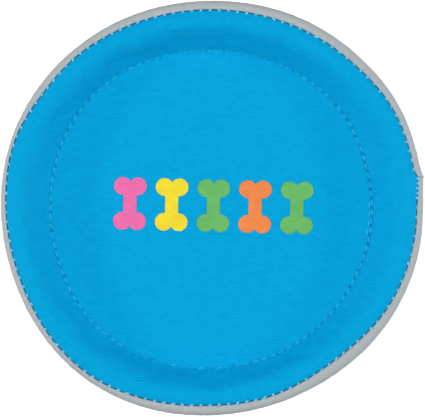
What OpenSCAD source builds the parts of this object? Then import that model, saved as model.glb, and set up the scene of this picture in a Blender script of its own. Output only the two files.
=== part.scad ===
// Soft flying disc: two round fabric panels over a foam rim ring and a thin centre liner,
// closed round the edge by a woven band, with a stitched circle inside the rim.
// Millimetres, +Z up. The origin is the centre of the underside, on the plane it rests on.

/* [Disc] */
// Overall diameter
disc_d = 230; // [200:1:260]
// Thickness of the padded rim
rim_h = 16; // [12:0.5:17]
// Diameter of the stitched circle inside the rim
stitch_d = 177.5; // [160:0.5:178]
// Distance from the outer edge to the seams of the edge band
seam_inset = 5.4; // [4:0.1:5.6]
// Drop from the top of the rim to the upper seam
shoulder_drop = 1.3; // [1:0.1:1.8]
// Height of the lower seam above the resting plane
lower_seam_z = 1.9; // [1.5:0.1:2.2]

/* [Layers] */
// Thickness of the panel fabric
cloth_t = 0.5; // [0.4:0.05:0.6]
// Thickness of the foam liner in the middle
liner_t = 1.2; // [0.8:0.1:1.6]
// Thickness of the edge band
band_t = 0.8; // [0.6:0.1:1]
// Thickness of the printed film
print_t = 0.15; // [0.1:0.05:0.3]
// Height of the flat middle's underside above the resting plane
recess_h = 1.6; // [1.2:0.1:2]

/* [Stitching] */
// Length from one stitch to the next
stitch_pitch = 5.1; // [4:0.1:6]
// Diameter of the sewing thread
thread_d = 0.7; // [0.4:0.05:0.8]
// Number of stitches sewn twice where the stitched circle closes
lap_stitches = 4; // [2:1:6]

/* [Printed marks] */
// Height of each bone-shaped mark
mark_h = 29; // [20:1:32]
// Width of each mark
mark_w = 18; // [12:1:20]
// Distance from one mark to the next
mark_pitch = 23; // [21:1:24]
// Turn of the row of marks about the disc's axis, in degrees
mark_turn = -1.5; // [-5:0.5:5]

/* [Hidden] */
$fn = 96;

disc_r = disc_d / 2;
stitch_r = stitch_d / 2;
seam_r = disc_r - seam_inset;
air = 0.05;              // clearance left between layers that lie on each other

// Heights of the layers where they are flat, and where the stitches pull them together
mid_top_z = recess_h + 2 * cloth_t + liner_t;
tuck_under_z = recess_h + liner_t * 2 / 3;
tuck_top_z = tuck_under_z + 2 * cloth_t;
upper_seam_z = rim_h - shoulder_drop;

// Radii where the panels change from one curve to the next
tuck_half_w = 0.6;       // half the width of the flat floor of the stitched valley
tuck_in_r = stitch_r - tuck_half_w;
tuck_out_r = stitch_r + tuck_half_w;
dip_r = tuck_in_r - 5;   // the flat middle starts to dip towards the stitches here
crest_r = stitch_r + 0.8 * (seam_r - stitch_r);
foot_in_r = crest_r - 5.5;
foot_out_r = crest_r + 1.5;
slope_gain = 1.5;        // how much steeper the padded slope starts than a straight line to the crest

// The seam's ditch: each edge rolls over and turns down into it
roll_w = 1;              // width of the rolled edge beside the seam
ditch_depth = 1;         // depth of the ditch below the rolled edge
lip_len = 1.6;           // seam allowance that hangs below the ditch

// The band's cross-section is an arc through both seams and the disc's outer edge
band_mid_z = (upper_seam_z + lower_seam_z) / 2;
band_half_h = (upper_seam_z - lower_seam_z) / 2;
band_arc_r = (band_half_h ^ 2 + seam_inset ^ 2) / (2 * seam_inset);
band_arc_cr = disc_r - band_arc_r;
band_end_a = acos((seam_r + roll_w - band_arc_cr) / band_arc_r);

join_a = 8.3;            // where the two ends of the band meet, degrees round from +X
join_gap = 0.3;          // space left between the two ends
lap_inset = 1.3;         // how far inside the stitched circle its second run lies
lap_a = -4;              // middle of that run, degrees round from +X
seam_slant = 25;         // slant of the seam's stitches across the ditch
bar_len = 1.4;           // length of a stitch seen across the ditch
row_x = 0.5;             // middle of the row of marks
row_y = 1;

cloth_blue = [0.02, 0.64, 0.86];
thread_blue = [0.2, 0.68, 0.92];
seam_thread_blue = [0.55, 0.83, 0.96];
band_grey = [0.69, 0.71, 0.72];

// Steps from a to b, ends included
function steps(a, b, n) = [for (i = [0:n]) a + (b - a) * i / n];

// Smooth change from 0 at a to 1 at b
function blend(r, a, b) = (1 - cos(180 * (r - a) / (b - a))) / 2;

// x where it is well under 1, and 1 where it is well over, with a round change between
function soft_cap(x) = let (
    width = 0.35,
    near = max(width - abs(x - 1), 0) / width
) min(x, 1) - near * near * width / 4;

// How far r is up the padded slope, from 0 at the stitched valley to 1 at the crest
function up(r) = (r - tuck_out_r) / (crest_r - tuck_out_r);

// Height of the top panel's outer face at radius r: a steep straight slope that rounds over
function top_z(r) =
    r < dip_r ? mid_top_z :
    r < tuck_in_r ? mid_top_z + (tuck_top_z - mid_top_z) * blend(r, dip_r, tuck_in_r) :
    r < tuck_out_r ? tuck_top_z :
    r < crest_r ? tuck_top_z + (rim_h - tuck_top_z) * soft_cap(slope_gain * up(r)) :
    rim_h - shoulder_drop * (1 - cos(90 * (r - crest_r) / (seam_r - crest_r)));

// Height of the bottom panel's outer face at radius r
function under_z(r) =
    r < dip_r ? recess_h :
    r < tuck_in_r ? recess_h + (tuck_under_z - recess_h) * blend(r, dip_r, tuck_in_r) :
    r < tuck_out_r ? tuck_under_z :
    r < foot_in_r ? tuck_under_z * (1 - sin(90 * (r - tuck_out_r) / (foot_in_r - tuck_out_r))) :
    r < foot_out_r ? 0 :
    lower_seam_z * (1 - cos(90 * (r - foot_out_r) / (seam_r - foot_out_r)));

// Radii at which both panels are drawn, from the middle out to the rolled edge
panel_radii = concat(
    [0],
    steps(dip_r, tuck_in_r, 4),
    steps(tuck_out_r, foot_in_r, 8),
    steps(foot_in_r + (crest_r - foot_in_r) / 3, crest_r, 2),
    [foot_out_r],
    steps(foot_out_r + 1, seam_r - roll_w, 5)
);

// A fabric skin: edge points of the outer face, then back along the inner face.
// dir is 1 for the top panel and -1 for the bottom one.
function skin(face, dir) = let (
    edge_z = face[len(face) - 1][1],
    ditch_z = edge_z - dir * ditch_depth,
    lip_z = ditch_z - dir * lip_len,
    inner_r = seam_r - cloth_t
) concat(
    face,
    [[seam_r - 0.35 * roll_w, edge_z - dir * 0.35 * ditch_depth], [seam_r, ditch_z], [seam_r, lip_z]],
    [[inner_r, lip_z], [inner_r, edge_z - dir * (cloth_t + 0.4)]],
    [for (i = [len(face) - 1:-1:0]) [face[i][0], face[i][1] - dir * cloth_t]]
);

module top_panel() {
    color(cloth_blue)
        rotate_extrude()
            polygon(skin([for (r = panel_radii) [r, top_z(r)]], 1));
}

module bottom_panel() {
    color(cloth_blue)
        rotate_extrude()
            polygon(skin([for (r = panel_radii) [r, under_z(r)]], -1));
}

// The space between the panels at radius r, as a lower and an upper height
function gap_low(r) = under_z(r) + cloth_t + air;
function gap_high(r) = top_z(r) - cloth_t - air;

module rim_foam() {
    foam_in_r = tuck_out_r + 1;
    foam_out_r = seam_r - cloth_t - air;
    nose_r = disc_r - band_t - 0.4;
    nose_half_h = 0.9;
    radii = [for (r = panel_radii) if (r > foam_in_r && r < foam_out_r) r];
    count = len(radii);
    last_r = radii[count - 1];
    color([0.93, 0.93, 0.9])
        rotate_extrude()
            polygon(concat(
                [for (r = radii) [r, gap_low(r)]],
                [[foam_out_r, gap_low(last_r) + 0.5], [foam_out_r, band_mid_z - 1.5 * nose_half_h]],
                [[nose_r, band_mid_z - nose_half_h], [nose_r, band_mid_z + nose_half_h]],
                [[foam_out_r, band_mid_z + 1.5 * nose_half_h], [foam_out_r, gap_high(last_r) - 0.5]],
                [for (i = [count - 1:-1:0]) [radii[i], gap_high(radii[i])]]
            ));
}

module centre_liner() {
    radii = concat([0], steps(dip_r, tuck_in_r - 0.9, 3));
    count = len(radii);
    color([0.85, 0.86, 0.87])
        rotate_extrude()
            polygon(concat(
                [for (r = radii) [r, gap_low(r)]],
                [for (i = [count - 1:-1:0]) [radii[i], gap_high(radii[i])]]
            ));
}

// A point on the band's section, t inside its outer face, at angle a above the mid plane
function band_point(a, t) = [
    band_arc_cr + (band_arc_r - t) * cos(a),
    band_mid_z + (band_arc_r - t) * sin(a)
];

// One rolled edge of the band, turned down into the ditch; dir is 1 at the upper seam
function band_lip(dir) = let (
    edge_z = band_point(dir * band_end_a, 0)[1],
    ditch_z = edge_z - dir * ditch_depth,
    lip_z = ditch_z - dir * lip_len,
    outer = [
        [seam_r + 0.35 * roll_w, edge_z - dir * 0.3 * ditch_depth],
        [seam_r + air, ditch_z],
        [seam_r + air, lip_z],
        [seam_r + air + band_t, lip_z]
    ]
) outer;

module edge_band() {
    outer = [for (a = steps(-band_end_a, band_end_a, 16)) band_point(a, 0)];
    inner = [for (a = steps(0.8 * band_end_a, -0.8 * band_end_a, 14)) band_point(a, band_t)];
    low = band_lip(-1);
    color(band_grey)
        rotate([0, 0, join_a + join_gap / disc_r * 90 / PI])
            rotate_extrude(angle = 360 - join_gap / disc_r * 180 / PI)
                polygon(concat(
                    [for (i = [3:-1:0]) low[i]],
                    outer,
                    band_lip(1),
                    inner
                ));
}

// A straight piece of thread along X, centred
module thread_bar(length) {
    rotate([0, 90, 0])
        cylinder(d = thread_d, h = length, center = true, $fn = 24);
}

// A full circle of stitches of radius r that stand at height z, each turned and tilted
module stitch_circle(r, z, length, turn, tilt) {
    count = round(2 * PI * r / stitch_pitch);
    for (i = [0:count - 1])
        rotate([0, 0, 360 * i / count])
            translate([r, 0, z])
                rotate([0, tilt, turn])
                    thread_bar(length);
}

// The stitches sewn a second time where the stitched circle closes, a little further in
module lap_run(z_offset, dir) {
    lap_r = stitch_r - lap_inset;
    face_z = dir > 0 ? top_z(lap_r) : under_z(lap_r);
    pitch_a = stitch_pitch / lap_r * 180 / PI;
    for (i = [0:lap_stitches - 1])
        rotate([0, 0, (i + 0.5 - lap_stitches / 2) * pitch_a + lap_a])
            translate([lap_r, 0, face_z + dir * z_offset])
                rotate([0, 0, 90])
                    thread_bar(0.8 * stitch_pitch);
}

module top_seam_thread() {
    color(seam_thread_blue)
        stitch_circle(seam_r, top_z(seam_r - roll_w) + 0.02, bar_len, seam_slant, 14);
}

module bottom_seam_thread() {
    color(seam_thread_blue)
        stitch_circle(seam_r, under_z(seam_r - roll_w) - 0.02, bar_len, seam_slant, -14);
}

module band_join_thread() {
    bars = 4;
    spread = 108;
    color([0.8, 0.82, 0.84])
        rotate([0, 0, join_a])
            for (i = [0:bars - 1]) {
                a = spread * (i / (bars - 1) - 0.5);
                p = band_point(a, -thread_d / 2 - 0.03);
                translate([p[0], 0, p[1]])
                    rotate([0, 90 - a, 0])
                        thread_bar(2);
            }
}

module inner_needle_thread() {
    lift = thread_d / 2 + 0.02;
    color(thread_blue) {
        stitch_circle(stitch_r, tuck_top_z + lift, 0.82 * stitch_pitch, 90, 0);
        lap_run(lift + 0.1, 1);
    }
}

module inner_bobbin_thread() {
    lift = thread_d / 2 + 0.02;
    color(thread_blue) {
        stitch_circle(stitch_r, tuck_under_z - lift, 0.82 * stitch_pitch, 90, 0);
        lap_run(lift + 0.1, -1);
    }
}

// One upright bone-shaped mark of the printed film; place counts from the middle of the row
module bone_mark(place) {
    lobe_r = 0.27 * mark_w;
    rotate([0, 0, mark_turn])
        translate([row_x + place * mark_pitch, row_y, mid_top_z + air])
            linear_extrude(print_t)
                union() {
                    for (sx = [-1, 1], sy = [-1, 1])
                        translate([sx * (mark_w / 2 - lobe_r), sy * (mark_h / 2 - lobe_r)])
                            circle(r = lobe_r);
                    square([0.4 * mark_w, mark_h - 2 * lobe_r], center = true);
                }
}

module print_pink() {
    color([0.96, 0.42, 0.67]) bone_mark(-2);
}

module print_yellow() {
    color([0.96, 0.87, 0.17]) bone_mark(-1);
}

module print_green() {
    color([0.41, 0.73, 0.38]) {
        bone_mark(0);
        bone_mark(2);
    }
}

module print_orange() {
    color([0.97, 0.54, 0.26]) bone_mark(1);
}

top_panel();
bottom_panel();
rim_foam();
centre_liner();
edge_band();
top_seam_thread();
bottom_seam_thread();
band_join_thread();
inner_needle_thread();
inner_bobbin_thread();
print_pink();
print_yellow();
print_green();
print_orange();
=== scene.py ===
"""Looks of the soft flying disc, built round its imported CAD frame. Metres, +Z up, printed face up."""

import math

import bpy
import numpy as np
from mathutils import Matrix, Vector


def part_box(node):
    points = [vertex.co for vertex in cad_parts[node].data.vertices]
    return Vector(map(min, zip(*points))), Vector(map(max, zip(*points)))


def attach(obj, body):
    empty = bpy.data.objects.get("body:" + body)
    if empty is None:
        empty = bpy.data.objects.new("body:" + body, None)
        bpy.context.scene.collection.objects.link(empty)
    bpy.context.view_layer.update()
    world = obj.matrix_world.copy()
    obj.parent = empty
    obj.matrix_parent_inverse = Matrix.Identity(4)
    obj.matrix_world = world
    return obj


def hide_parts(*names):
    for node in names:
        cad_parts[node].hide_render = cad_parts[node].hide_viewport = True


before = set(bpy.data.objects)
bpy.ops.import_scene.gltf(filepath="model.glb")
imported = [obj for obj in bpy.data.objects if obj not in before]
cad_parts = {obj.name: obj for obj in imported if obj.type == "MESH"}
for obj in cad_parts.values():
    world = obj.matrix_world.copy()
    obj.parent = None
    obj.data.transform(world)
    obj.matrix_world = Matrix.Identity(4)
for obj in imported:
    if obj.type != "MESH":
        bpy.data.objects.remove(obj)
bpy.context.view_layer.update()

MM = 0.001
TAU = 2 * math.pi

# ---------------------------------------------------------------- sizes, from the CAD frame

band_low, band_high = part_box("edge_band")
_, top_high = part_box("top_panel")
liner_low, liner_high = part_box("centre_liner")
needle_low, needle_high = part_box("inner_needle_thread")

CLOTH_T = 0.5 * MM
THREAD_R = 0.38 * MM
BAR_R = 0.38 * MM
CAD_THREAD_R = 0.35 * MM
DISC_R = band_high.x
SEAM_R = top_high.x
RIM_Z = top_high.z
MID_Z = liner_high.z + CLOTH_T
UNDER_Z = liner_low.z - CLOTH_T
STITCH_R = needle_high.x - CAD_THREAD_R
TUCK_TOP_Z = needle_low.z
TUCK_UNDER_Z = TUCK_TOP_Z - 2 * CLOTH_T
BAND_MID_Z = (band_low.z + band_high.z) / 2
BAND_HALF_H = (band_high.z - band_low.z) / 2

TUCK_HALF_W = 0.6 * MM
TUCK_IN_R = STITCH_R - TUCK_HALF_W
TUCK_OUT_R = STITCH_R + TUCK_HALF_W
DIP_R = TUCK_IN_R - 5 * MM
CREST_R = STITCH_R + 0.8 * (SEAM_R - STITCH_R)
FOOT_IN_R = CREST_R - 5.5 * MM
FOOT_OUT_R = CREST_R + 1.5 * MM
SLOPE_GAIN = 1.5
SHOULDER_DROP = 1.3 * MM
LOWER_RISE = 1.9 * MM

STITCH_PITCH = 5.1 * MM
INNER_STITCHES = round(TAU * STITCH_R / STITCH_PITCH)
SEAM_STITCHES = round(TAU * SEAM_R / STITCH_PITCH)
JOIN_ANGLE = math.radians(8.3)
LAP_ANGLE = math.radians(-4)
SEAM_LAP_ANGLE = math.radians(4.4)
SEAM_LAP_HALF = math.radians(2.6)

# How far each sewn circle strays from round. The knots are set at the places where the circle
# bulges or flattens: direction in degrees from +X, and how far out it lies there in mm.
EDGE_KNOTS = [
    (0, 0.4), (14, 0.8), (30, 1.3), (45, 0.2), (60, -0.4), (90, -1.8), (120, -0.6), (158, 1.2),
    (195, 0.5), (238, 1.6), (250, 0.8), (270, -1.2), (292, -2.1), (330, 0.1), (345, 0.6),
]
SEAM_KNOTS = [
    (0, 1.1), (15, 1.6), (28, 1.8), (45, -0.4), (60, -1.4), (90, -2.5), (120, -0.7), (132, 0.5),
    (145, 1.0), (162, 3.4), (180, 2.3), (205, 1.7), (222, 2.9), (234, 2.9), (255, -0.4),
    (270, -2.4), (282, -2.5), (312, -3.4), (330, -0.3), (345, 1.0),
]
STITCH_KNOTS = [
    (0, -0.8), (12, -1.0), (38, -0.1), (60, -1.5), (82, -2.5), (98, -2.0), (120, 0.1), (145, 1.7),
    (180, 0.6), (195, 0.9), (222, 2.6), (238, 2.3), (270, -0.3), (300, -0.7), (330, -1.2), (345, -0.9),
]
# The underside isn't known, so its seam only has gentle lobes: 1, 2, 3 ... of them round the disc,
# with the height in mm and the direction of a lobe in degrees
UNDER_SEAM_WAVES = [(0.6, 40), (1.2, 60), (0.5, 20), (0.3, 10)]

SPOKES = 8 * SEAM_STITCHES
ANGLES = np.arange(SPOKES) * TAU / SPOKES


def waves(theta, lobes):
    return sum(a * MM * np.cos(k * (theta - math.radians(p))) for k, (a, p) in enumerate(lobes, 1))


def ring_curve(theta, knots):
    """A smooth closed curve through (degrees, mm) knots round the disc, in metres."""
    degrees, height = np.array(knots).T
    at = np.radians(np.concatenate([degrees[-2:] - 360, degrees, degrees[:2] + 360]))
    value = MM * np.concatenate([height[-2:], height, height[:2]])
    slope = np.gradient(value, at)
    turned = np.asarray(theta) % TAU
    i = np.searchsorted(at, turned, side="right") - 1
    step = at[i + 1] - at[i]
    u = (turned - at[i]) / step
    ends = (1 + 2 * u) * (1 - u) ** 2 * value[i] + u * u * (3 - 2 * u) * value[i + 1]
    return ends + step * u * (1 - u) * ((1 - u) * slope[i] - u * slope[i + 1])


def angle_from(theta, centre):
    """theta less centre, from minus half a turn to half a turn."""
    return (theta - centre + math.pi) % TAU - math.pi


def peak(theta, centre, before, after):
    """A corner of height 1 at centre that falls to 0 over `before` and `after` radians."""
    d = angle_from(theta, centre)
    return np.clip(1 - np.where(d < 0, -d / before, d / after), 0, 1)


def edge_offset(theta):
    return ring_curve(theta, EDGE_KNOTS) + 0.85 * MM * peak(theta, JOIN_ANGLE, 0.09, 0.06)


def seam_offset(theta):
    return ring_curve(theta, SEAM_KNOTS) + 1.7 * MM * peak(theta, JOIN_ANGLE, 0.13, 0.035)


def under_seam_offset(theta):
    return waves(theta, UNDER_SEAM_WAVES) + 0.8 * MM * peak(theta, JOIN_ANGLE, 0.09, 0.06)


def stitch_offset(theta):
    return ring_curve(theta, STITCH_KNOTS)


def smooth_noise(theta, lobes, seed, power=1.0):
    """A smooth closed curve of random waves round the disc, about 1 high."""
    draw = np.random.default_rng(seed)
    k = np.arange(1, lobes + 1)
    a = draw.normal(size=lobes) / k ** (power / 2)
    p = draw.uniform(0, TAU, lobes)
    total = (a[:, None] * np.cos(k[:, None] * np.asarray(theta).ravel()[None, :] + p[:, None])).sum(0)
    return (total / math.sqrt((a ** 2).sum() / 2) / 2).reshape(np.shape(theta))


def ease(x, a, b):
    """Smooth change from 0 at a to 1 at b."""
    t = np.clip((x - a) / (b - a), 0, 1)
    return t * t * (3 - 2 * t)


def soft_cap(x, k=0.35):
    """x where it is well under 1, and 1 where it is well over, with a round change."""
    h = np.clip(k - np.abs(x - 1), 0, None) / k
    return np.minimum(x, 1) - h * h * k / 4


# ---------------------------------------------------------------- shape of the two panels

def top_height(r):
    """Height of the top panel at CAD radius r."""
    dip = MID_Z + (TUCK_TOP_Z - MID_Z) * ease(r, DIP_R, TUCK_IN_R)
    up = np.clip(r - TUCK_OUT_R, 0, None) / (CREST_R - TUCK_OUT_R)
    slope = TUCK_TOP_Z + (RIM_Z - TUCK_TOP_Z) * soft_cap(SLOPE_GAIN * up)
    past = np.clip((r - CREST_R) / (SEAM_R - CREST_R), 0, 1)
    return np.where(r < TUCK_OUT_R, dip, slope) - SHOULDER_DROP * (1 - np.cos(past * math.pi / 2))


def under_height(r):
    """Height of the bottom panel at CAD radius r."""
    dip = UNDER_Z + (TUCK_UNDER_Z - UNDER_Z) * ease(r, DIP_R, TUCK_IN_R)
    down = np.clip((r - TUCK_OUT_R) / (FOOT_IN_R - TUCK_OUT_R), 0, 1)
    past = np.clip((r - FOOT_OUT_R) / (SEAM_R - FOOT_OUT_R), 0, 1)
    slope = TUCK_UNDER_Z * (1 - np.sin(down * math.pi / 2))
    return np.where(r < TUCK_OUT_R, dip, slope) + LOWER_RISE * (1 - np.cos(past * math.pi / 2))


def stray(r, theta, seam_stray):
    """How far a point of CAD radius r lies outside that radius on the sewn disc."""
    inner = stitch_offset(theta)
    outer = seam_stray(theta)
    share = np.clip((r - STITCH_R) / (SEAM_R - STITCH_R), 0, 1)
    return np.where(r < STITCH_R, inner * (r / STITCH_R) ** 2, inner + (outer - inner) * share)


def near_stitch(theta, count, width):
    """1 at each stitch hole of a circle of `count` stitches, falling to 0 between them."""
    step = TAU / count
    d = (theta + step / 2) % step - step / 2
    return np.exp(-(d / (width * step)) ** 2)


def seam_bite(theta, width):
    """1 at each stitch of the band's seams; they lie twice as close where the seam's ends overlap."""
    once = near_stitch(theta, SEAM_STITCHES, width)
    twice = near_stitch(theta, 2 * SEAM_STITCHES, 1.6 * width)
    overlap = np.abs(angle_from(theta, SEAM_LAP_ANGLE)) < SEAM_LAP_HALF
    return np.where(overlap, np.maximum(once, twice), once)


def disc_grid(cells):
    """Points of a square grid of cells x cells wrapped to a unit disc, with equal steps on its rim."""
    line = np.linspace(-1, 1, cells + 1)
    a, b = np.meshgrid(line, line, indexing="ij")
    wide = np.abs(a) > np.abs(b)
    r = np.where(wide, a, b)
    with np.errstate(divide="ignore", invalid="ignore"):
        phi = np.where(wide, math.pi / 4 * b / a, math.pi / 2 - math.pi / 4 * a / b)
    phi = np.where((a == 0) & (b == 0), 0, phi)
    return r * np.cos(phi), r * np.sin(phi)


def mesh_object(name, points, faces, material, smooth=True):
    mesh = bpy.data.meshes.new(name)
    mesh.from_pydata([tuple(p) for p in points], [], faces)
    if material:
        mesh.materials.append(material)
    mesh.polygons.foreach_set("use_smooth", [smooth] * len(mesh.polygons))
    mesh.validate()
    mesh.update()
    piece = bpy.data.objects.new(name, mesh)
    bpy.context.scene.collection.objects.link(piece)
    return piece


def grid_faces(rows, columns, start=0, closed=True, flip=False):
    """Quads between rows of points, each row a closed ring of `columns` points."""
    i, j = np.meshgrid(np.arange(rows - 1), np.arange(columns if closed else columns - 1), indexing="ij")
    a = start + i * columns + j
    b = start + i * columns + (j + 1) % columns
    quads = np.stack([a, a + columns, b + columns, b], -1).reshape(-1, 4)
    return (quads[:, ::-1] if flip else quads).tolist()


def set_shade(piece, start, values):
    """Store the painted shade of each vertex from `start` on, how deep in its own shade it lies, for the
    material; below 0 it is a painted highlight.
    """
    shade_of = np.zeros(len(piece.data.vertices))
    shade_of[start:start + values.size] = values.ravel()
    piece.data.attributes.new("shade", "FLOAT", "POINT").data.foreach_set("value", shade_of)


def bumps(x, y, seed, scale):
    """Very shallow undulations of a flat cloth, about 1 high, with features of about `scale` metres."""
    draw = np.random.default_rng(seed)
    total = np.zeros(np.shape(x))
    for _ in range(14):
        way = draw.uniform(0, TAU)
        length = scale * draw.uniform(0.7, 2.2)
        phase = draw.uniform(0, TAU)
        total += np.cos(TAU * (x * math.cos(way) + y * math.sin(way)) / length + phase)
    return total / 3.7


def middle_lift(x, y, dir, seed):
    """Slight undulation of the flat middle; it dies out at the stitched circle."""
    r = np.hypot(x, y)
    fade = 1 - ease(r, 0.72 * STITCH_R, 0.97 * STITCH_R)
    return dir * 0.14 * MM * bumps(x, y, seed, 45 * MM) * fade


ROLL_R = 0.6 * MM
LIP = 0.9 * MM

# The walls of the seam's ditch: share of LIP down from the rolled edge, and share of the ditch's
# half width from its middle to the wall. The panel's wall turns under and makes the ditch's floor.
LIP_STEPS = np.array([[0.2], [0.45], [0.65], [1.0]])
PANEL_GAP = np.array([[0.95], [0.7], [-0.3], [-0.85]])
BAND_GAP = np.array([[1.0], [1.0], [0.97], [0.92]])
# painted shade in the seam's ditch: how far the colour is darkened on the panel's rolled edge, on its lip and
# on the band's lips
ROLL_SHADE = np.array([[0.0], [0.0], [0.05], [0.25], [0.45], [0.55]])
LIP_SHADE = np.array([[0.55], [0.55], [0.55], [0.6]])
BAND_SHADE = np.array([[0.2], [0.3], [0.45], [0.6]])


def gap_half(theta, seed):
    """Half the width of the seam's ditch: it opens between stitches and closes at them, and it gapes
    most where the weave's ribs run along it."""
    opening = 1 - seam_bite(theta, 0.17)
    pulled = 0.18 + 0.11 * np.sin(theta) ** 2 - 0.04 * np.sin(theta)
    return (0.05 + (pulled + 0.1 * smooth_noise(theta, 90, seed)) * opening) * MM


SIM_FRAMES = 20
SIM_CAP = 0.5 * MM


def puffed(points, dir):
    """Cloth simulation of one cover's padded rim, given as rows of points whose first and last row are
    sewn down. Gives how far each point moves, less what its whole row moves, so that the rim keeps the
    frame's profile and gains the cloth's own puckers and folds."""
    start = points[:, ::2]
    rows, columns = start.shape[:2]
    faces = grid_faces(rows, columns, flip=dir < 0)
    trial = mesh_object("trial", start.reshape(-1, 3), faces, None)
    sewn = trial.vertex_groups.new(name="sewn")
    bite = near_stitch(ANGLES[::2], INNER_STITCHES, 0.25)
    for j in range(columns):
        sewn.add([j], 0.25 + 0.75 * float(bite[j]), "REPLACE")
    sewn.add(list(range((rows - 1) * columns, rows * columns)), 1.0, "REPLACE")
    modifier = trial.modifiers.new("cloth", "CLOTH")
    fabric = modifier.settings
    fabric.quality = 5
    fabric.mass = 0.3
    fabric.tension_stiffness = 20
    fabric.compression_stiffness = 20
    fabric.shear_stiffness = 8
    fabric.bending_stiffness = 0.3
    fabric.vertex_group_mass = "sewn"
    fabric.shrink_min = -0.008
    fabric.use_pressure = True
    fabric.uniform_pressure_force = 4
    fabric.effector_weights.gravity = 0
    modifier.point_cache.frame_start = 1
    modifier.point_cache.frame_end = SIM_FRAMES
    scene = bpy.context.scene
    for frame_number in range(1, SIM_FRAMES + 1):
        scene.frame_set(frame_number)
    settled = trial.evaluated_get(bpy.context.evaluated_depsgraph_get()).to_mesh()
    moved = np.empty(rows * columns * 3)
    settled.vertices.foreach_get("co", moved)
    moved = moved.reshape(rows, columns, 3) - start
    bpy.data.objects.remove(trial)
    scene.frame_set(1)

    # the row's own mean goes, in the directions away from the axis and up
    out = start[..., :2] / np.linalg.norm(start[..., :2], axis=-1, keepdims=True)
    away = (moved[..., :2] * out).sum(-1)
    along = moved[..., :2] - away[..., None] * out
    away -= away.mean(1, keepdims=True)
    lift = moved[..., 2] - moved[..., 2].mean(1, keepdims=True)
    moved = np.concatenate([along + away[..., None] * out, lift[..., None]], -1)
    moved = SIM_CAP * np.tanh(0.5 * moved / SIM_CAP)

    # back to every spoke: a smooth curve through the points on every second one
    full = np.empty(points.shape)
    full[:, ::2] = moved
    near = moved + np.roll(moved, -1, 1)
    far = np.roll(moved, 1, 1) + np.roll(moved, -2, 1)
    full[:, 1::2] = (9 * near - far) / 16
    return full


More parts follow.
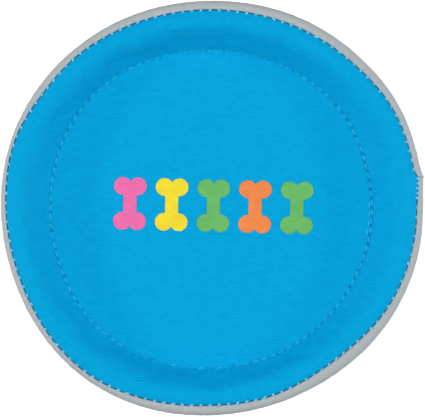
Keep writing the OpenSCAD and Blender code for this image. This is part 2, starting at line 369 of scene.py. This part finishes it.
def panel(name, height, dir, seam_stray, pucker, material, seed):
    """One round panel, its padded rim and the edge that rolls down into the seam's ditch.
    dir is 1 for the top panel and -1 for the bottom one. Between the two, the stitches leave 1 mm, which
    the needle holes of both share: pucker is 1 for the panel that takes nearly all of it."""
    radii = np.concatenate([
        np.linspace(DIP_R, TUCK_IN_R, 8),
        np.linspace(TUCK_IN_R, TUCK_OUT_R, 5)[1:],
        np.linspace(TUCK_OUT_R, STITCH_R + 8 * MM, 14)[1:],
        np.linspace(STITCH_R + 8 * MM, CREST_R, 12)[1:],
        np.linspace(CREST_R, SEAM_R - ROLL_R - 0.2 * MM, 10)[1:],
    ])
    theta = ANGLES[None, :]
    r = radii[:, None] + 0 * theta
    z = height(r)

    # puckers that fan out from the stitched circle, and its needle holes; they are boldest at the two
    # sides, at +X and -X, and more so at the side where the circle closes
    from_stitch = r - STITCH_R
    bold = 0.5 + 0.5 * np.cos(theta) ** 2 + 0.2 * np.cos(theta)
    hole = bold * near_stitch(theta, INNER_STITCHES, 0.17)
    strength = 0.7 + 0.5 * smooth_noise(theta, 60, seed + 1)
    fan = np.where(from_stitch > 0, np.exp(-from_stitch / (3.2 * MM)), np.exp(from_stitch / (1.8 * MM)))
    z += dir * 0.28 * MM * pucker * fan * strength * (0.4 - hole)
    z -= dir * (0.1 + 0.38 * hole) * MM * pucker * np.exp(-(from_stitch / (0.55 * MM)) ** 2)
    crumple = bumps(r * np.cos(theta), r * np.sin(theta), seed + 5, 1.5 * MM)
    crumpled = crumple * np.exp(-(from_stitch / (2.2 * MM)) ** 2)
    z += dir * 0.16 * MM * pucker * bold * crumpled
    # painted shade: the groove along the stitched circle and its needle holes are painted darker, most at the
    # two sides; painted light and shade on the crumples: their peaks are painted lighter and their hollows
    # darker
    groove_painted_shade = (0.25 * bold + 0.25 * hole) * np.exp(-(from_stitch / (0.75 * MM)) ** 2)
    rim_painted_light_and_shade = groove_painted_shade - 0.16 * crumpled

    # long shallow folds across the padded rim, and small pulls where the seam's stitches bite
    across = ease(r, TUCK_OUT_R, STITCH_R + 7 * MM) * (1 - ease(r, SEAM_R - 4 * MM, SEAM_R))
    z += dir * 0.15 * MM * across * smooth_noise(theta, 46, seed + 2, 0.6)
    to_seam = np.clip(SEAM_R - r, 0, None)
    pull = seam_bite(theta, 0.2)
    z += dir * 0.22 * MM * np.exp(-to_seam / (1.8 * MM)) * (0.45 - pull)

    # the rolled edge and the allowance hanging below it
    gap = gap_half(theta, seed + 3)
    last_r, last_z = r[-1], z[-1]
    turn = np.linspace(0, 1, 7)[1:, None] * math.pi / 2
    roll_w = SEAM_R - gap[0] - last_r
    roll_r = last_r + roll_w * np.sin(turn)
    roll_z = last_z - dir * ROLL_R * (1 - np.cos(turn))
    lip_z = roll_z[-1] - dir * LIP * LIP_STEPS
    lip_r = SEAM_R - gap * PANEL_GAP
    all_r = np.concatenate([r, roll_r, lip_r])
    all_z = np.concatenate([z, roll_z, lip_z])
    all_r = all_r + stray(all_r, theta, seam_stray)
    x = all_r * np.cos(theta)
    y = all_r * np.sin(theta)
    inside = all_r < STITCH_R
    all_z = all_z + np.where(inside, middle_lift(x, y, dir, seed), 0)
    ring = np.stack([x, y, all_z], -1)
    rim = slice(int(np.searchsorted(radii, TUCK_OUT_R - 1e-6)), len(radii))
    ring[rim] += puffed(ring[rim], dir)
    if dir < 0:
        ring[..., 2] = np.maximum(ring[..., 2], 0)

    # the flat middle
    cells = SPOKES // 8
    u, v = disc_grid(cells)
    rho = np.hypot(u, v) * (DIP_R - 0.8 * MM)
    phi = np.arctan2(v, u)
    mid_r = rho + stray(rho, phi, seam_stray)
    mx, my = mid_r * np.cos(phi), mid_r * np.sin(phi)
    mz = height(rho) + middle_lift(mx, my, dir, seed)
    side = cells + 1
    mid_points = np.stack([mx, my, mz], -1).reshape(-1, 3)
    i, j = np.meshgrid(np.arange(side - 1), np.arange(side - 1), indexing="ij")
    a = i * side + j
    mid_faces = np.stack([a, a + side, a + side + 1, a + 1], -1).reshape(-1, 4).tolist()

    # the rim of the middle grid, in order of angle, sewn to every second spoke
    k = np.arange(side)
    border = np.unique(np.concatenate([k, (side - 1) * side + k, k * side, k * side + side - 1]))
    border_angle = np.arctan2(mid_points[border, 1], mid_points[border, 0]) % TAU
    spoke = np.round(border_angle / TAU * SPOKES).astype(int) % SPOKES
    order = np.argsort(spoke)
    start = len(mid_points)
    bridge = []
    for here, after in zip(order, np.roll(order, -1)):
        c0, c1 = int(border[here]), int(border[after])
        r0, r1, r2 = (start + int(spoke[here] + k) % SPOKES for k in range(3))
        bridge += [[c0, r0, r1], [c0, r1, c1], [c1, r1, r2]]
    ring_points = ring.reshape(-1, 3)
    ring_faces = grid_faces(len(all_r), SPOKES, start)
    faces = mid_faces + bridge + ring_faces
    if dir < 0:
        faces = [f[::-1] for f in faces]
    piece = mesh_object(name, np.concatenate([mid_points, ring_points]), faces, material)
    set_shade(piece, start, np.concatenate([rim_painted_light_and_shade, ROLL_SHADE + 0 * theta, LIP_SHADE + 0 * theta]))
    return piece


# ---------------------------------------------------------------- materials

def new_material(name):
    material = bpy.data.materials.new(name)
    material.use_nodes = True
    tree = material.node_tree
    shader = tree.nodes["Principled BSDF"]
    return material, tree, shader


def math_node(tree, operation, a, b=None, c=None):
    node = tree.nodes.new("ShaderNodeMath")
    node.operation = operation
    for socket, value in zip(node.inputs, (a, b, c)):
        if value is None:
            continue
        if isinstance(value, (int, float)):
            socket.default_value = value
        else:
            tree.links.new(value, socket)
    return node.outputs[0]


def position(tree):
    return tree.nodes.new("ShaderNodeTexCoord").outputs["Object"]


def split_position(tree, vector):
    """The X and Y of a position."""
    split = tree.nodes.new("ShaderNodeSeparateXYZ")
    tree.links.new(vector, split.inputs[0])
    return split.outputs["X"], split.outputs["Y"]


def scaled_noise(tree, vector, scale, detail=2.0, roughness=0.5):
    """Noise whose features are 1/scale metres in X, Y and Z."""
    mapping = tree.nodes.new("ShaderNodeMapping")
    mapping.inputs["Scale"].default_value = scale
    tree.links.new(vector, mapping.inputs["Vector"])
    noise = tree.nodes.new("ShaderNodeTexNoise")
    noise.inputs["Scale"].default_value = 1.0
    noise.inputs["Detail"].default_value = detail
    noise.inputs["Roughness"].default_value = roughness
    tree.links.new(mapping.outputs[0], noise.inputs["Vector"])
    return noise.outputs["Fac"]


def ramp(tree, value, stops):
    node = tree.nodes.new("ShaderNodeValToRGB")
    while len(node.color_ramp.elements) < len(stops):
        node.color_ramp.elements.new(0.5)
    for element, (place, colour) in zip(node.color_ramp.elements, stops):
        element.position = place
        element.color = (*colour, 1)
    tree.links.new(value, node.inputs[0])
    return node.outputs[0]


def shade(colour, k):
    return tuple(min(1.0, c * k) for c in colour)


def plain_weave(tree, x, y, pitch_x, pitch_y):
    """Height of a plain weave, 0 to about 1: yarns along X that dive under yarns along Y."""
    along = math_node(tree, "COSINE", math_node(tree, "MULTIPLY", x, math.pi / pitch_x))
    across = math_node(tree, "COSINE", math_node(tree, "MULTIPLY", y, math.pi / pitch_y))
    crossing = math_node(tree, "MULTIPLY", along, across)
    rib = math_node(tree, "ABSOLUTE", across)
    height = math_node(tree, "MULTIPLY_ADD", crossing, 0.3, math_node(tree, "MULTIPLY", rib, 0.7))
    return math_node(tree, "MAXIMUM", height, 0.0)


def add_bump(tree, shader, height, distance, strength=1.0):
    bump = tree.nodes.new("ShaderNodeBump")
    bump.inputs["Distance"].default_value = distance
    bump.inputs["Strength"].default_value = strength
    tree.links.new(height, bump.inputs["Height"])
    tree.links.new(bump.outputs[0], shader.inputs["Normal"])


CLOTH_PITCH_X = 0.62 * MM
CLOTH_PITCH_Y = 0.75 * MM
TAPE_PITCH = 0.4 * MM
SHADE_DEPTH = 0.65


def woven_cloth(name, colour, pitch_x, pitch_y, depth, contrast, roughness, sheen):
    material, tree, shader = new_material(name)
    vector = position(tree)
    x, y = split_position(tree, vector)
    # yarns wander a little, so the ribs aren't ruled lines
    wander = scaled_noise(tree, vector, (60, 60, 60), 1.0)
    y_wander = math_node(tree, "MULTIPLY_ADD", wander, 0.5 * MM, y)
    weave = plain_weave(tree, x, y_wander, pitch_x, pitch_y)
    yarn = scaled_noise(tree, vector, (280, 1.5 / pitch_y, 120), 1.0)
    # painted light and shade of the weave: the colour is darker where the yarns dip and lighter on their
    # crowns; the yarn noise is the yarns' own tone
    tone = math_node(tree, "MULTIPLY_ADD", weave, 0.35, math_node(tree, "MULTIPLY", yarn, 0.65))
    low = tuple(c * (1 - k) for c, k in zip(colour, contrast))
    high = tuple(c * (1 + k) for c, k in zip(colour, contrast))
    woven = ramp(tree, tone, [(0.15, low), (0.45, colour), (0.8, high)])
    # painted shade and highlight from the 'shade' attribute: the colour is darkened in the needle holes,
    # creases and ditches, which lie in their own shade, and lightened on the crumples' peaks, where the
    # attribute is below 0
    inside = tree.nodes.new("ShaderNodeAttribute")
    inside.attribute_name = "shade"
    shaded = tree.nodes.new("ShaderNodeVectorMath")
    shaded.operation = "SCALE"
    tree.links.new(woven, shaded.inputs[0])
    light_left = math_node(tree, "MULTIPLY_ADD", inside.outputs["Fac"], -SHADE_DEPTH, 1.0)
    tree.links.new(light_left, shaded.inputs["Scale"])
    tree.links.new(shaded.outputs[0], shader.inputs["Base Color"])
    rough = math_node(tree, "MULTIPLY_ADD", weave, -0.12, roughness + 0.08)
    tree.links.new(rough, shader.inputs["Roughness"])
    shader.inputs["Sheen Weight"].default_value = sheen
    shader.inputs["Sheen Roughness"].default_value = 0.5
    shader.inputs["Specular IOR Level"].default_value = 0.02
    fuzz = scaled_noise(tree, vector, (2500, 2500, 2500), 2.0)
    height = math_node(tree, "MULTIPLY_ADD", fuzz, 0.2, weave)
    add_bump(tree, shader, height, depth)
    return material


CLOTH_BLUE = (0.0016, 0.372, 0.722)
TAPE_GREY = (0.46, 0.5, 0.52)
THREAD_BLUE = (0.03, 0.54, 0.92)
SEAM_THREAD_BLUE = (0.26, 0.67, 0.92)

cloth = woven_cloth(
    "panel_cloth", CLOTH_BLUE, CLOTH_PITCH_X, CLOTH_PITCH_Y,
    depth=0.10 * MM, contrast=(0.24, 0.24, 0.16), roughness=0.6, sheen=0.0,
)
tape = woven_cloth(
    "band_tape", TAPE_GREY, TAPE_PITCH, TAPE_PITCH,
    depth=0.06 * MM, contrast=(0.08, 0.08, 0.08), roughness=0.7, sheen=0.1,
)


def thread_material(name, colour):
    material, tree, shader = new_material(name)
    fibre = scaled_noise(tree, position(tree), (3000, 3000, 3000), 3.0)
    tree.links.new(
        ramp(tree, fibre, [(0.3, shade(colour, 0.8)), (0.7, shade(colour, 1.12))]),
        shader.inputs["Base Color"],
    )
    shader.inputs["Roughness"].default_value = 0.6
    shader.inputs["Specular IOR Level"].default_value = 0.2
    add_bump(tree, shader, fibre, 0.04 * MM)
    return material


thread = thread_material("thread", THREAD_BLUE)
seam_thread = thread_material("seam_thread", SEAM_THREAD_BLUE)
band_thread = thread_material("band_thread", (0.62, 0.65, 0.68))


def film_material(name, colour):
    """Soft printed film: it follows the weave under it, and its colour carries painted shade where yarns dip.
    """
    material, tree, shader = new_material(name)
    vector = position(tree)
    x, y = split_position(tree, vector)
    weave = plain_weave(tree, x, y, CLOTH_PITCH_X, CLOTH_PITCH_Y)
    blotch = scaled_noise(tree, vector, (160, 300, 160), 3.0)
    # painted light and shade of the weave under the film, mixed with the print's own blotchy tone
    tone = math_node(tree, "MULTIPLY_ADD", weave, 0.3, math_node(tree, "MULTIPLY", blotch, 0.7))
    tree.links.new(
        ramp(tree, tone, [(0.25, shade(colour, 0.86)), (0.65, shade(colour, 1.07))]),
        shader.inputs["Base Color"],
    )
    shader.inputs["Roughness"].default_value = 0.55
    shader.inputs["Specular IOR Level"].default_value = 0.3
    add_bump(tree, shader, weave, 0.04 * MM)
    return material


FILMS = {
    "print_pink": (0.90, 0.150, 0.41),
    "print_yellow": (0.92, 0.74, 0.025),
    "print_green": (0.14, 0.49, 0.125),
    "print_orange": (0.92, 0.25, 0.06),
}


def foam_material():
    material, tree, shader = new_material("foam")
    mapping = tree.nodes.new("ShaderNodeMapping")
    mapping.inputs["Scale"].default_value = (900, 900, 900)
    tree.links.new(position(tree), mapping.inputs["Vector"])
    cells = tree.nodes.new("ShaderNodeTexVoronoi")
    cells.inputs["Scale"].default_value = 1.0
    tree.links.new(mapping.outputs[0], cells.inputs["Vector"])
    tree.links.new(
        ramp(tree, cells.outputs["Distance"], [(0.0, (0.86, 0.86, 0.82)), (0.6, (0.76, 0.76, 0.71))]),
        shader.inputs["Base Color"],
    )
    shader.inputs["Roughness"].default_value = 0.9
    add_bump(tree, shader, cells.outputs["Distance"], 0.15 * MM)
    return material


foam = foam_material()

# ---------------------------------------------------------------- panels

top = panel("top_cover", top_height, 1, seam_offset, 1.0, cloth, 7)
bottom = panel("bottom_cover", under_height, -1, under_seam_offset, 0.1, cloth, 23)

# ---------------------------------------------------------------- edge band

def edge_band():
    """The woven band: down into the upper ditch, round the rim's edge, and down into the lower ditch."""
    near_join = JOIN_ANGLE + np.linspace(-1.4, 1.4, 15) * MM / DISC_R
    clear = np.abs(angle_from(ANGLES, JOIN_ANGLE)) > 1.6 * MM / DISC_R
    theta = np.sort(np.concatenate([ANGLES[clear], near_join]))[None, :]
    gap_top = gap_half(theta, 31)
    gap_low = gap_half(theta, 32)
    top_r = SEAM_R + seam_offset(theta) + gap_top
    low_r = SEAM_R + under_seam_offset(theta) + gap_low
    out_r = DISC_R - 0.2 * MM + edge_offset(theta)
    turn = np.linspace(-1, 1, 37)[:, None] * math.pi / 2
    share = (1 + np.sin(turn)) / 2
    seam_side = low_r + (top_r - low_r) * share
    width = out_r - seam_side
    body_r = seam_side + width * np.cos(turn) ** 0.8
    body_z = BAND_MID_Z + (BAND_HALF_H + 0.1 * MM) * np.sin(turn)
    body_z = body_z + 0 * theta
    bite = seam_bite(theta, 0.2)
    high = np.abs(np.sin(turn)) ** 6
    body_z -= np.sign(turn) * 0.3 * MM * bite * high
    ripple = smooth_noise(theta, 220, 51, 0.3)
    body_r += 0.10 * MM * ripple * np.cos(turn) ** 2
    lips_top = body_z[-1] - LIP_STEPS * LIP - 0.3 * ROLL_R
    lips_low = body_z[0] + LIP_STEPS[::-1] * LIP + 0.3 * ROLL_R
    closing = 0.02 * MM - gap_top * (1 - BAND_GAP)
    closing_low = 0.02 * MM - gap_low * (1 - BAND_GAP[::-1])
    r = np.concatenate([body_r[:1] + closing_low, body_r, body_r[-1:] + closing])
    z = np.concatenate([lips_low, body_z, lips_top])
    # the join: both ends turn inward into a narrow groove across the band
    groove = np.exp(-(angle_from(theta, JOIN_ANGLE) * DISC_R / (0.3 * MM)) ** 2)
    sunk = 0.6 * MM * groove
    tilt = np.clip((z - BAND_MID_Z) / BAND_HALF_H, -1, 1) * math.pi / 2
    r = r - sunk * np.cos(tilt)
    z = z - sunk * np.sin(tilt)
    points = np.stack([r * np.cos(theta), r * np.sin(theta), z], -1).reshape(-1, 3)
    piece = mesh_object("rim_band", points, grid_faces(len(r), theta.size, flip=True), tape)
    # painted shade: the band's lips down in the seam's ditches are painted darker
    band_ditch_painted_shade = np.zeros(r.shape)
    band_ditch_painted_shade[:len(BAND_SHADE)] = BAND_SHADE[::-1]
    band_ditch_painted_shade[-len(BAND_SHADE):] = BAND_SHADE
    set_shade(piece, 0, band_ditch_painted_shade)
    return piece


band = edge_band()

# ---------------------------------------------------------------- sewing thread

def sweep(path, radius, sides=9, plies=3, twist=2.2, depth=0.16):
    """Points and faces of a twisted thread along a path: a round section with shallow lobes that turn."""
    path = np.asarray(path, float)
    tangent = np.gradient(path, axis=0)
    tangent /= np.linalg.norm(tangent, axis=1)[:, None]
    side = np.cross(tangent, (0, 0, 1))
    side /= np.linalg.norm(side, axis=1)[:, None] + 1e-12
    up = np.cross(side, tangent)
    steps = np.linspace(0, 1, len(path))
    points = []
    for p, s, u, t in zip(path, side, up, steps):
        a = np.arange(sides) * TAU / sides
        r = radius * (1 - depth + depth * np.cos(plies * (a - TAU * twist * t / plies)))
        points.append(p + (np.cos(a) * r)[:, None] * s + (np.sin(a) * r)[:, None] * u)
    faces = grid_faces(len(path), sides)
    last = (len(path) - 1) * sides
    faces.append(list(range(sides)))
    faces.append([last + k for k in reversed(range(sides))])
    return np.concatenate(points), faces


def thread_piece(name, paths, radius, material):
    points, faces, start = [], [], 0
    for path in paths:
        p, f = sweep(path, radius)
        points.append(p)
        faces += [[start + k for k in face] for face in f]
        start += len(p)
    return mesh_object(name, np.concatenate(points), faces, material)


def stitch_path(r, a0, a1, height, dir, rise, slant=0.0, count=15):
    """One stitch of the stitched circle, out of one needle hole and into the next."""
    t = np.linspace(0, 1, count)
    a = a0 + (a1 - a0) * t
    radius = r + stitch_offset(a) + slant * (t - 0.5)
    lift = rise - (rise + 0.75 * MM) * np.abs(2 * t - 1) ** 2.6
    return np.stack([radius * np.cos(a), radius * np.sin(a), height + dir * lift], -1)


LAP_INSET = 1.3 * MM


def stitched_circle(height, dir, seed):
    """The stitched circle, and the few stitches that run back beside it where it closes."""
    draw = np.random.default_rng(seed)
    step = TAU / INNER_STITCHES
    paths = []
    for i in range(INNER_STITCHES):
        slant = (draw.normal() * 0.2 - 0.5) * MM
        # the thread sinks deeper where it lies along the weave's ribs
        sunk = draw.uniform(0.7, 1.4) * abs(math.sin((i + 0.5) * step)) ** 1.5
        rise = THREAD_R * (draw.uniform(-0.1, 0.35) - sunk)
        start, end = (i + draw.uniform(0.13, 0.19)) * step, (i + draw.uniform(0.81, 0.87)) * step
        paths.append(stitch_path(STITCH_R, start, end, height, dir, rise, slant))
    lap_r = STITCH_R - LAP_INSET
    lap_step = STITCH_PITCH / lap_r
    for i in range(-2, 2):
        a = LAP_ANGLE + i * lap_step
        rise = THREAD_R * 0.2
        paths.append(stitch_path(lap_r, a + 0.1 * lap_step, a + 0.88 * lap_step, height, dir, rise, 0.2 * MM))
    return paths


needle = thread_piece("needle_thread", stitched_circle(TUCK_TOP_Z, 1, 61), 1.05 * THREAD_R, thread)
bobbin = thread_piece("bobbin_thread", stitched_circle(TUCK_UNDER_Z, -1, 62), THREAD_R, thread)


STRAND_GAP = 0.6 * MM


def seam_bars(seam_stray, height, dir, seed):
    """The seam's thread where it shows: at each stitch its two strands cross the ditch at a slant."""
    draw = np.random.default_rng(seed)
    step = TAU / SEAM_STITCHES
    places = list(np.arange(SEAM_STITCHES) * step)
    places += [a + step / 2 for a in places if abs(angle_from(a + step / 2, SEAM_LAP_ANGLE)) < SEAM_LAP_HALF]
    paths = []
    for a in places:
        t = np.linspace(-1, 1, 11)
        reach = (0.62 + 0.14 * draw.normal()) * MM
        sunk = (0.15 * math.cos(a) ** 2 + 0.4 * draw.uniform(0, 1) ** 2) * MM
        slant = (0.3 + 0.35 * draw.normal()) * MM
        r = SEAM_R + float(seam_stray(np.array(a))) - 0.15 * MM + reach * t
        lift = 0.1 * MM - sunk - 0.7 * MM * np.abs(t) ** 4
        for strand in (-1, 1):
            along = a + (strand * STRAND_GAP / 2 - slant * t) / SEAM_R
            paths.append(np.stack([r * np.cos(along), r * np.sin(along), height + dir * lift], -1))
    return paths


TOP_SEAM_Z = float(top_height(np.array(SEAM_R - ROLL_R)))
LOW_SEAM_Z = float(under_height(np.array(SEAM_R - ROLL_R)))
top_paths = seam_bars(seam_offset, TOP_SEAM_Z, 1, 63)
top_bars = thread_piece("top_seam_stitches", top_paths, BAR_R, seam_thread)
low_paths = seam_bars(under_seam_offset, LOW_SEAM_Z, -1, 64)
low_bars = thread_piece("low_seam_stitches", low_paths, BAR_R, seam_thread)


def join_bars():
    """Short stitches across the band's join, all round its section."""
    paths = []
    r0 = SEAM_R + float(seam_offset(np.array(JOIN_ANGLE)))
    out = DISC_R + float(edge_offset(np.array(JOIN_ANGLE)))
    for i in range(6):
        a = math.radians(-62 + 124 * i / 5)
        r = r0 + (out - r0) * math.cos(a) ** 0.8
        z = BAND_MID_Z + BAND_HALF_H * math.sin(a)
        t = np.linspace(-1, 1, 9)
        lift = 0.05 * MM - 0.35 * MM * np.abs(t) ** 3
        angle = JOIN_ANGLE + 0.85 * MM * t / out
        radius = r + lift * math.cos(a)
        paths.append(np.stack([radius * np.cos(angle), radius * np.sin(angle), z + lift * math.sin(a)], -1))
    return paths


band_bars = thread_piece("band_join_stitches", join_bars(), 0.8 * THREAD_R, band_thread)

# ---------------------------------------------------------------- printed film

CELL = 0.5 * MM
FILM_T = 0.12 * MM
FILM_LIFT = 0.05 * MM


def bone_distance(x, y, w, h):
    """Negative inside an upright bone w wide and h high."""
    lobe = 0.27 * w
    cx, cy = w / 2 - lobe, h / 2 - lobe
    lobes = np.hypot(np.abs(x) - cx, np.abs(y) - cy) - lobe
    shaft = np.maximum(np.abs(x) - 0.2 * w, np.abs(y) - cy)
    return np.minimum(lobes, shaft)


def film_sheet(x0, y0, w, h, turn):
    """Points (on the disc's plane) and faces of one mark, cut from a grid along its outline."""
    nx, ny = int(w / CELL / 2) + 2, int(h / CELL / 2) + 2
    gx, gy = np.meshgrid(np.arange(-nx, nx + 1) * CELL, np.arange(-ny, ny + 1) * CELL, indexing="ij")
    d = bone_distance(gx, gy, w, h)
    points, faces, seen = [], [], {}

    def vertex(key, px, py):
        if key not in seen:
            seen[key] = len(points)
            points.append((px, py))
        return seen[key]

    for i in range(2 * nx):
        for j in range(2 * ny):
            corners = [(i, j), (i + 1, j), (i + 1, j + 1), (i, j + 1)]
            if all(d[c] > 0 for c in corners):
                continue
            loop = []
            for c, n in zip(corners, corners[1:] + corners[:1]):
                if d[c] <= 0:
                    loop.append(vertex(c, gx[c], gy[c]))
                if (d[c] <= 0) != (d[n] <= 0):
                    t = d[c] / (d[c] - d[n])
                    key = (min(c, n), max(c, n))
                    loop.append(vertex(key, gx[c] + t * (gx[n] - gx[c]), gy[c] + t * (gy[n] - gy[c])))
            if len(loop) > 2:
                faces.append(loop)
    x, y = np.array(points).T + [[x0], [y0]]
    c, s = math.cos(turn), math.sin(turn)
    return np.stack([x * c - y * s, x * s + y * c], -1), faces


MARK_W = 18 * MM
MARK_H = 29 * MM
MARK_PITCH = 23 * MM
ROW_X = 0.5 * MM
ROW_Y = 1 * MM
MARK_TURN = math.radians(-1.5)
# which places of the row each colour fills, counted from its middle
MARKS = {"print_pink": [-2], "print_yellow": [-1], "print_green": [0, 2], "print_orange": [1]}


def film_piece(node):
    points, faces, start = [], [], 0
    for place in MARKS[node]:
        flat, loops = film_sheet(ROW_X + place * MARK_PITCH, ROW_Y, MARK_W, MARK_H, MARK_TURN)
        z = MID_Z + middle_lift(flat[:, 0], flat[:, 1], 1, 7) + FILM_LIFT + FILM_T
        points.append(np.column_stack([flat, z]))
        faces += [[start + k for k in f] for f in loops]
        start += len(flat)
    piece = mesh_object(node + "_film", np.concatenate(points), faces, film_material(node, FILMS[node]))
    thick = piece.modifiers.new("thickness", "SOLIDIFY")
    thick.thickness = FILM_T
    thick.offset = -1
    return piece


films = {node: film_piece(node) for node in MARKS}

# ---------------------------------------------------------------- padding inside

def foam_between(name, radii, clearance):
    """A closed piece of foam between the two covers. Its first radius is the wall round its middle, or
    where it is filled in flat to the axis if `radii` starts inside the flat middle."""
    theta = ANGLES[None, ::4]
    r = radii[:, None] + 0 * theta
    inset = CLOTH_T + clearance
    low_r = r + stray(r, theta, under_seam_offset)
    top_r = r + stray(r, theta, seam_offset)
    loop_r = np.concatenate([low_r, top_r[::-1]])
    loop_z = np.concatenate([under_height(r) + inset, top_height(r[::-1]) - inset])
    columns = theta.shape[1]
    points = np.stack([loop_r * np.cos(theta), loop_r * np.sin(theta), loop_z], -1).reshape(-1, 3)
    faces = grid_faces(len(loop_r), columns, flip=True)
    last = (len(loop_r) - 1) * columns
    if radii[0] < DIP_R:
        faces.append(list(range(columns))[::-1])
        faces.append(list(range(last, last + columns)))
    else:
        faces += [[j, last + j, last + (j + 1) % columns, (j + 1) % columns] for j in range(columns)]
    return mesh_object(name, points, faces, foam)


rim_radii = np.linspace(TUCK_OUT_R + 2.5 * MM, SEAM_R - 3 * MM, 14)
rim_pad = foam_between("rim_padding", rim_radii, 0.7 * MM)
middle_radii = np.concatenate([[5 * MM, DIP_R / 2], np.linspace(DIP_R, TUCK_IN_R - 1.4 * MM, 4)])
middle_pad = foam_between("middle_padding", middle_radii, 0.1 * MM)

# ---------------------------------------------------------------- what each piece is

pieces = [
    (top, "panel_cloth", ["top_panel"]),
    (bottom, "panel_cloth", ["bottom_panel"]),
    (band, "band_tape", ["edge_band"]),
    (needle, "thread", ["inner_needle_thread"]),
    (bobbin, "thread", ["inner_bobbin_thread"]),
    (top_bars, "seam_thread", ["top_seam_thread"]),
    (low_bars, "seam_thread", ["bottom_seam_thread"]),
    (band_bars, "band_thread", ["band_join_thread"]),
    (rim_pad, "foam", ["rim_foam"]),
    (middle_pad, "foam", ["centre_liner"]),
]
pieces += [(film, node.replace("print", "film"), [node]) for node, film in films.items()]
for piece, slot, nodes in pieces:
    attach(piece, "root")
    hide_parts(*nodes)

# ---------------------------------------------------------------- stage, light and camera

def area_light(name, place, size, power, target=(0, 0, 0)):
    lamp = bpy.data.lights.new(name, "AREA")
    lamp.shape = "RECTANGLE"
    lamp.size, lamp.size_y = size
    lamp.energy = power
    light = bpy.data.objects.new(name, lamp)
    light.location = place
    light.rotation_euler = (Vector(target) - Vector(place)).to_track_quat("-Z", "Y").to_euler()
    bpy.context.scene.collection.objects.link(light)


def studio_sweep():
    """A white floor whose far edge curves up all round into a low wall. It shows, but lights nothing."""
    material, _, shader = new_material("sweep")
    shader.inputs["Base Color"].default_value = (0.9, 0.9, 0.9, 1)
    shader.inputs["Roughness"].default_value = 0.9
    shader.inputs["Specular IOR Level"].default_value = 0.0
    shader.inputs["Emission Color"].default_value = (1, 1, 1, 1)
    shader.inputs["Emission Strength"].default_value = 0.5
    flat_r, bend_r = 2.5, 1.0
    below = 0.1 * MM
    sides = 96
    bend = np.linspace(0, math.pi / 2, 13)
    radii = np.concatenate([[0.01, 0.5, 1.5], flat_r + bend_r * np.sin(bend)])
    heights = np.concatenate([[0, 0, 0], bend_r * (1 - np.cos(bend))]) - below
    theta = np.arange(sides) * TAU / sides
    x = radii[:, None] * np.cos(theta)
    y = radii[:, None] * np.sin(theta)
    z = heights[:, None] + 0 * theta
    points = np.stack([x, y, z], -1).reshape(-1, 3)
    faces = [list(range(sides))] + grid_faces(len(radii), sides)
    sweep_wall = mesh_object("sweep", points, faces, material)
    sweep_wall.visible_diffuse = False


def studio_world():
    """Dim soft light from above, and from below the light that a pale floor gives back."""
    world = bpy.data.worlds.new("studio")
    world.use_nodes = True
    tree = world.node_tree
    coords = tree.nodes.new("ShaderNodeTexCoord")
    split = tree.nodes.new("ShaderNodeSeparateXYZ")
    tree.links.new(coords.outputs["Generated"], split.inputs[0])
    level = tree.nodes.new("ShaderNodeMapRange")
    for socket, value in (("From Min", -0.1), ("From Max", 0.1), ("To Min", 0.45), ("To Max", 0.05)):
        level.inputs[socket].default_value = value
    tree.links.new(split.outputs["Z"], level.inputs["Value"])
    tree.links.new(level.outputs[0], tree.nodes["Background"].inputs["Strength"])
    tree.nodes["Background"].inputs["Color"].default_value = (1, 1, 1, 1)
    bpy.context.scene.world = world


studio_sweep()
studio_world()
area_light("key", (-2.29, 0.06, 2.74), (2.1, 1.2), 72)
area_light("fill", (2.29, 0.06, 2.74), (2.1, 1.2), 67)
area_light("low key", (-3.46, 0.06, 0.86), (2.1, 0.6), 94)
area_light("low fill", (3.46, 0.06, 0.86), (2.1, 0.6), 83)
bpy.context.scene.view_settings.view_transform = "Standard"

LENS = 100
SENSOR = 36
VIEW_W = 232.6 * MM
cam = bpy.data.cameras.new("camera")
cam.lens = LENS
cam.sensor_width = SENSOR
camera = bpy.data.objects.new("camera", cam)
camera.location = (0.05 * MM, -0.55 * MM, BAND_MID_Z + VIEW_W * LENS / SENSOR)
bpy.context.scene.collection.objects.link(camera)
bpy.context.scene.camera = camera
